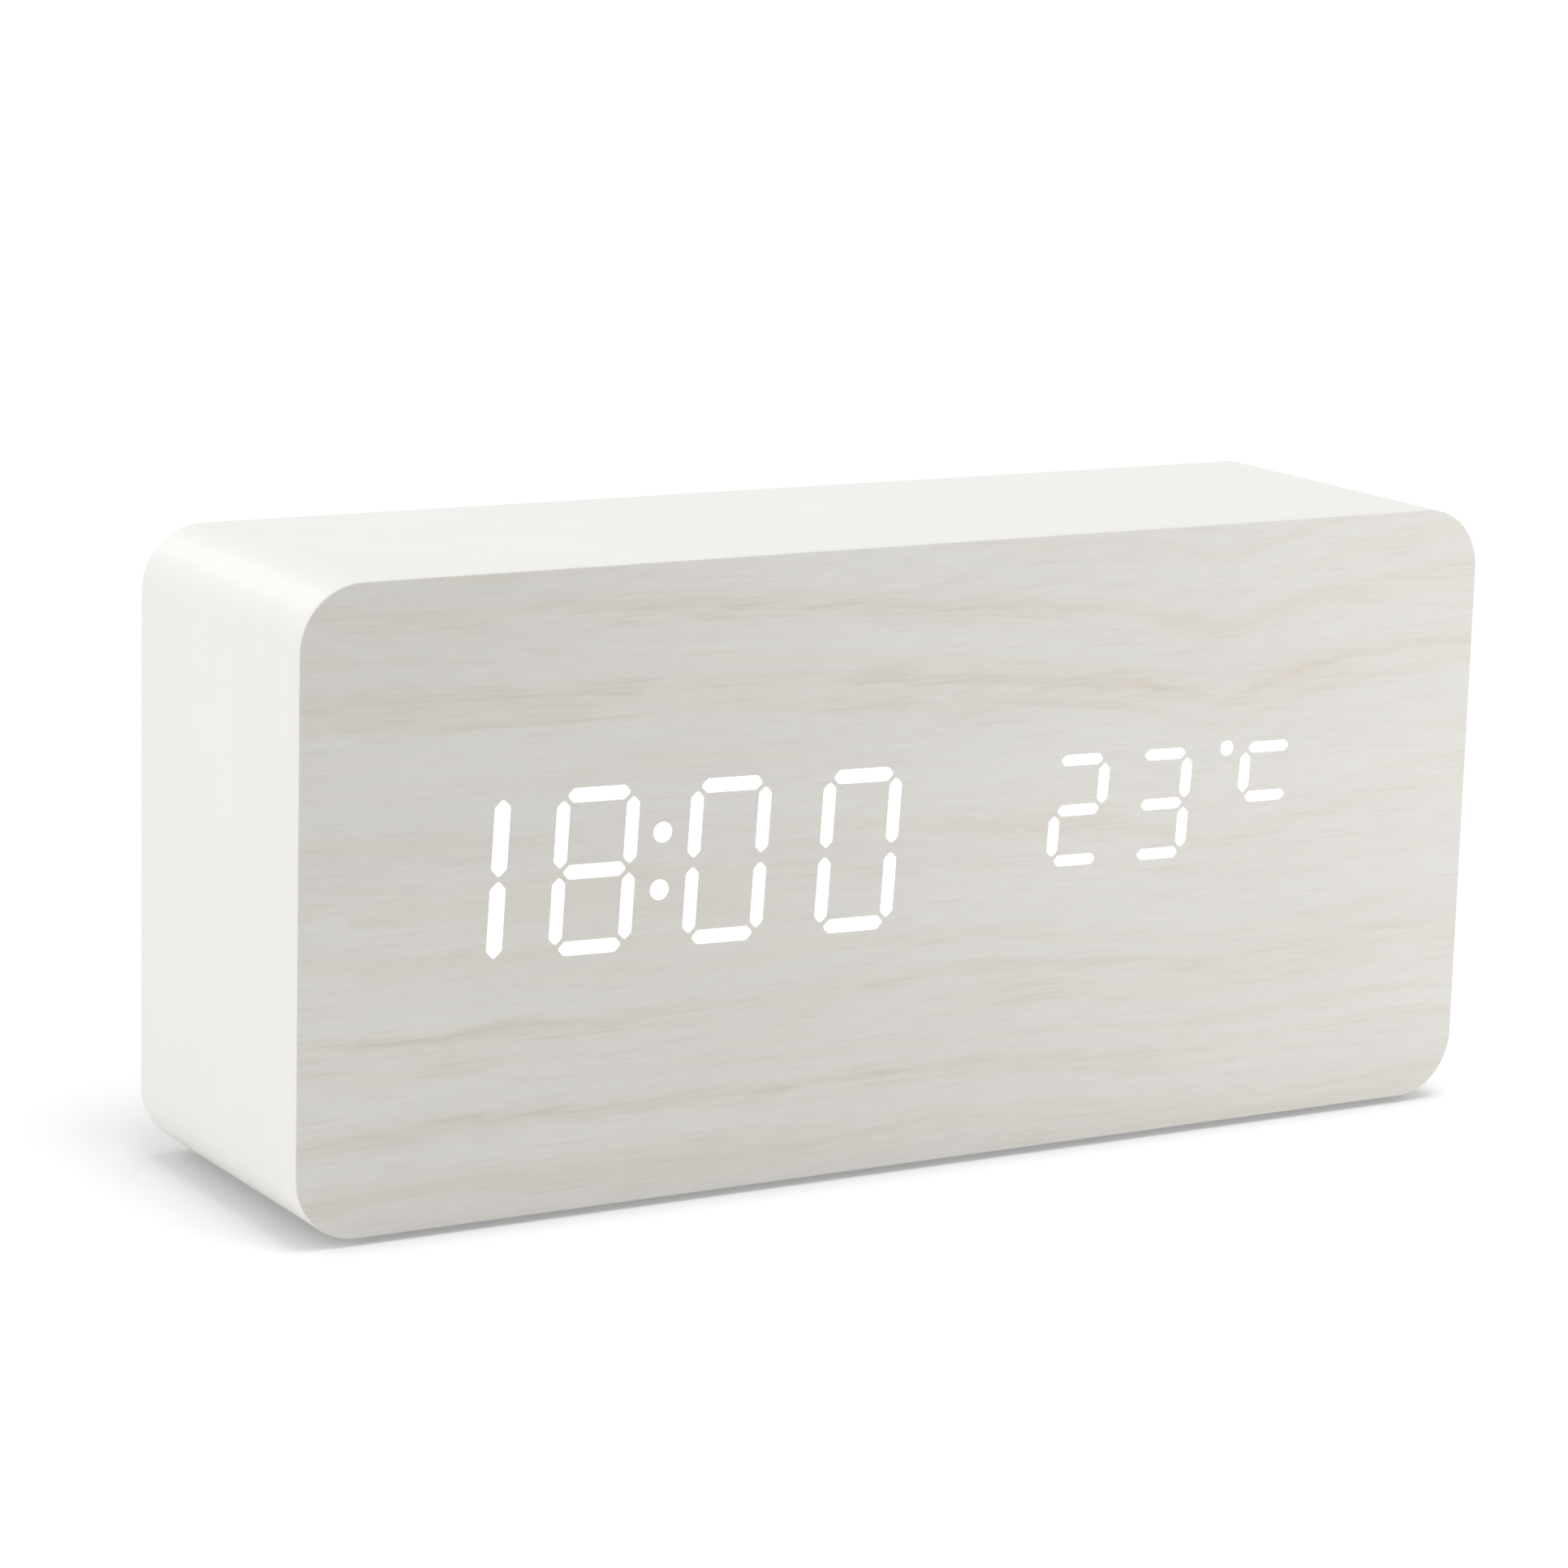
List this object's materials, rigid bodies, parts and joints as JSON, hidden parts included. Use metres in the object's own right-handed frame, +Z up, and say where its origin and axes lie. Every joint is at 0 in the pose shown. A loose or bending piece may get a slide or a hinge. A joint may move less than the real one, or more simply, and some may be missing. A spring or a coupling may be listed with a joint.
{
  "type": "digital led desk clock",
  "caption": "Block-shaped desk clock in white foil with a whitewashed veneer front that LED time and temperature digits shine through, with rear keys and battery bay.",
  "frame": {"origin": "on the surface it stands on, under the middle of the clock", "axes": "+X to the right seen from the front, -Y out of the front, +Z up"},
  "size_m": [0.15, 0.041, 0.0708],
  "materials": {
    "veneer": "whitewashed matt veneer with fine level grain",
    "lit_window": "translucent diffuser lit from behind",
    "white_foil": "smooth satin white foil",
    "fibreboard": "routed fibreboard, white primed",
    "foot_pad": "soft matt pad",
    "black_film": "printed film",
    "white_moulding": "white moulding",
    "led_resin": "yellow phosphor resin",
    "circuit_board": "green solder mask",
    "nylon": "natural nylon",
    "screw_steel": "zinc plated",
    "chip_resin": "moulded resin",
    "can_metal": "drawn can",
    "black_moulding": "fine spark-eroded texture",
    "key_plastic": "smooth matt",
    "switch_plastic": "moulded black",
    "contact_metal": "nickel plated spring sheet",
    "cell_jacket": "plain printed jacket",
    "red_insulation": "wire insulation",
    "black_insulation": "wire insulation",
    "grey_insulation": "flat cable"
  },
  "bodies": {
    "clock_case": {"front_veneer": "veneer", "time_light_windows": "lit_window", "temperature_light_windows": "lit_window", "side_foil": "white_foil", "case_body": "fibreboard", "feet": "foot_pad", "time_mask_film": "black_film", "temperature_mask_film": "black_film", "time_reflector": "white_moulding", "temperature_reflector": "white_moulding", "time_leds": "led_resin", "temperature_leds": "led_resin", "main_board": "circuit_board", "board_spacers": "nylon", "board_screws": "screw_steel", "controller_chip": "chip_resin", "clock_crystal": "can_metal", "digit_drivers": "chip_resin", "main_header": "nylon", "rear_cover": "black_moulding", "cover_screws": "screw_steel", "switch_bodies": "switch_plastic", "key_board": "circuit_board", "key_board_screws": "screw_steel", "key_header": "nylon", "buzzer": "chip_resin", "microphone": "can_metal", "temperature_sensor": "chip_resin", "dc_jack": "switch_plastic", "dc_jack_pin": "contact_metal", "battery_cells": "cell_jacket", "positive_terminal": "contact_metal", "negative_terminal": "contact_metal", "bridge_contact_left": "contact_metal", "bridge_contact_right": "contact_metal", "red_lead": "red_insulation", "black_lead": "black_insulation", "ribbon_cable": "grey_insulation"},
    "set_button": {"set_button": "key_plastic", "set_plunger": "switch_plastic"},
    "up_button": {"up_button": "key_plastic", "up_plunger": "switch_plastic"},
    "down_button": {"down_button": "key_plastic", "down_plunger": "switch_plastic"},
    "battery_door": {"battery_door": "black_moulding"}
  },
  "joints": [
    {"name": "set_press", "type": "slide", "parent": "clock_case", "child": "set_button", "axis": [0, -1, 0], "range_m": [0, 0.0005], "stiffness_N_per_m": 2400},
    {"name": "up_press", "type": "slide", "parent": "clock_case", "child": "up_button", "axis": [0, -1, 0], "range_m": [0, 0.0005], "stiffness_N_per_m": 2400},
    {"name": "down_press", "type": "slide", "parent": "clock_case", "child": "down_button", "axis": [0, -1, 0], "range_m": [0, 0.0005], "stiffness_N_per_m": 2400},
    {"name": "battery_door_hinge", "type": "hinge", "parent": "clock_case", "child": "battery_door", "pos_m": [-0.05092, 0.0185, 0.0358], "axis": [0, 0, 1], "range_deg": [0, 85]}
  ]
}
